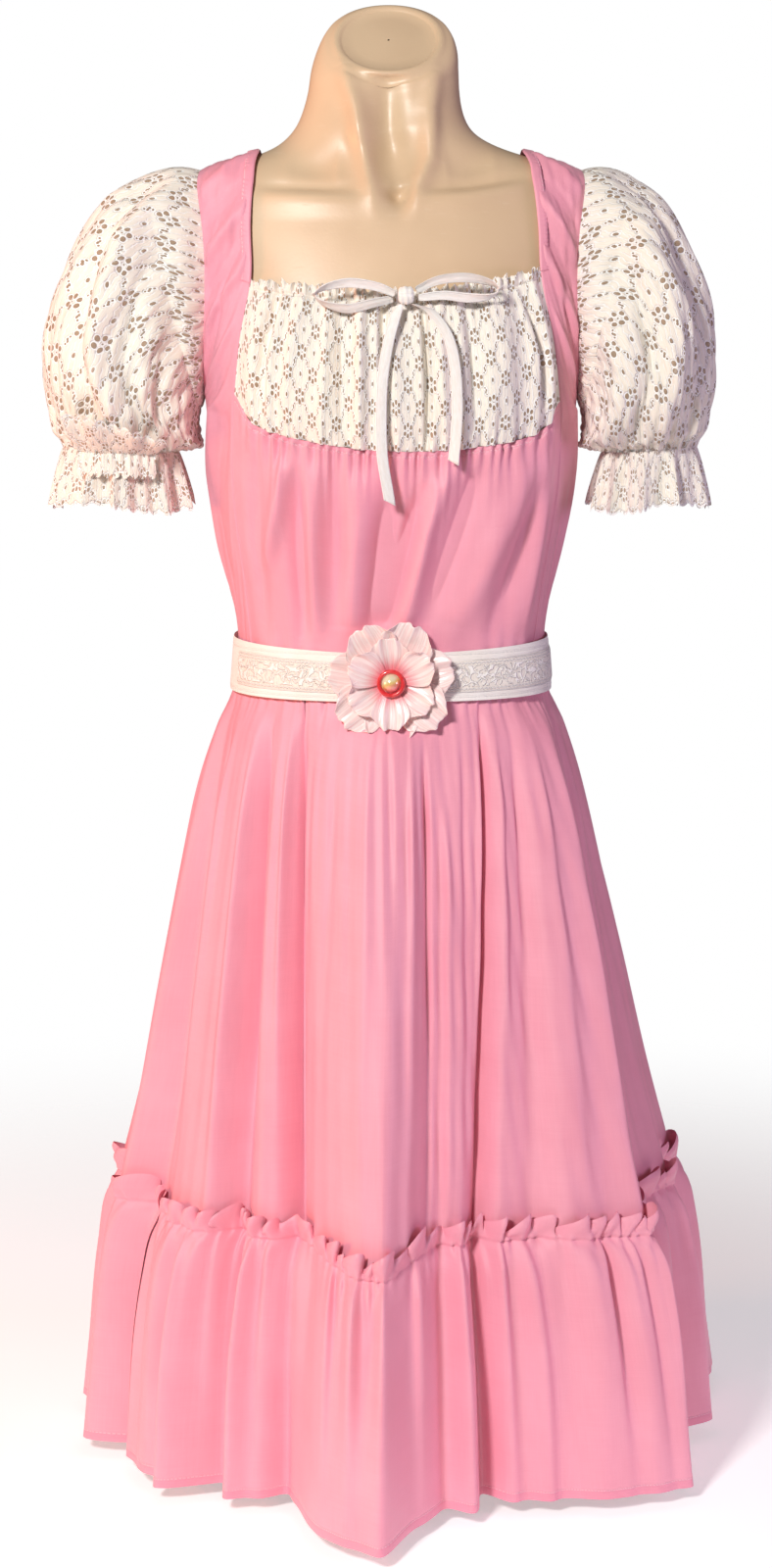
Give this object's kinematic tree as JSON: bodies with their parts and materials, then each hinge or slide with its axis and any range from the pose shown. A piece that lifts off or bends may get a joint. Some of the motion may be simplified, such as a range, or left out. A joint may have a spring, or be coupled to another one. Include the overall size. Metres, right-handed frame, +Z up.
{
  "type": "square dance dress on dress form",
  "caption": "Knee-length full-skirted dance dress with puffed eyelet sleeves, gathered yoke, belt and flounce, worn by a limbless dress form on a round-based stand.",
  "frame": {"origin": "centre of the stand base's underside, on the floor", "axes": "+Z up, -Y towards the front of the dress, +X to the viewer's right"},
  "size_m": [0.5983, 0.5635, 1.2407],
  "materials": {
    "form_shell": "smooth moulded tan plastic with a soft shine",
    "stand_metal": "brushed steel",
    "pink_cotton": "fine plain-weave cotton blend with a slight sheen",
    "eyelet_cotton": "off-white embroidered eyelet cotton",
    "drawstring_tape": "flat white woven tape",
    "belt_cotton": "smooth off-white sateen",
    "belt_embroidery": "off-white ribbon with raised tone-on-tone embroidery",
    "petal_silk": "pale pink artificial silk with pressed ribs",
    "flower_red": "glossy red",
    "flower_pearl": "iridescent yellow and pink dome"
  },
  "bodies": {
    "root": {"form": "form_shell", "stand_base": "stand_metal", "stand_pole": "stand_metal", "bodice_front": "pink_cotton", "yoke": "eyelet_cotton", "side_front_left": "pink_cotton", "side_front_right": "pink_cotton", "bodice_back": "pink_cotton", "neck_band_left": "pink_cotton", "neck_band_right": "pink_cotton", "neck_band_back": "pink_cotton", "sleeve_left_front": "eyelet_cotton", "sleeve_left_back": "eyelet_cotton", "sleeve_right_front": "eyelet_cotton", "sleeve_right_back": "eyelet_cotton", "frill_left": "eyelet_cotton", "frill_right": "eyelet_cotton", "frill_left_turned": "eyelet_cotton", "skirt_front": "pink_cotton", "skirt_side_right": "pink_cotton", "skirt_back": "pink_cotton", "skirt_side_left": "pink_cotton", "flounce_front": "pink_cotton", "flounce_right": "pink_cotton", "flounce_back": "pink_cotton", "flounce_left": "pink_cotton", "belt": "belt_cotton", "belt_ribbon": "belt_embroidery", "flower_outer": "petal_silk", "flower_inner": "petal_silk", "flower_ring": "flower_red", "flower_dome": "flower_pearl", "bow_loop_left": "drawstring_tape", "bow_loop_right": "drawstring_tape", "bow_tail_left": "drawstring_tape", "bow_tail_right": "drawstring_tape", "bow_knot": "drawstring_tape"}
  },
  "joints": []
}
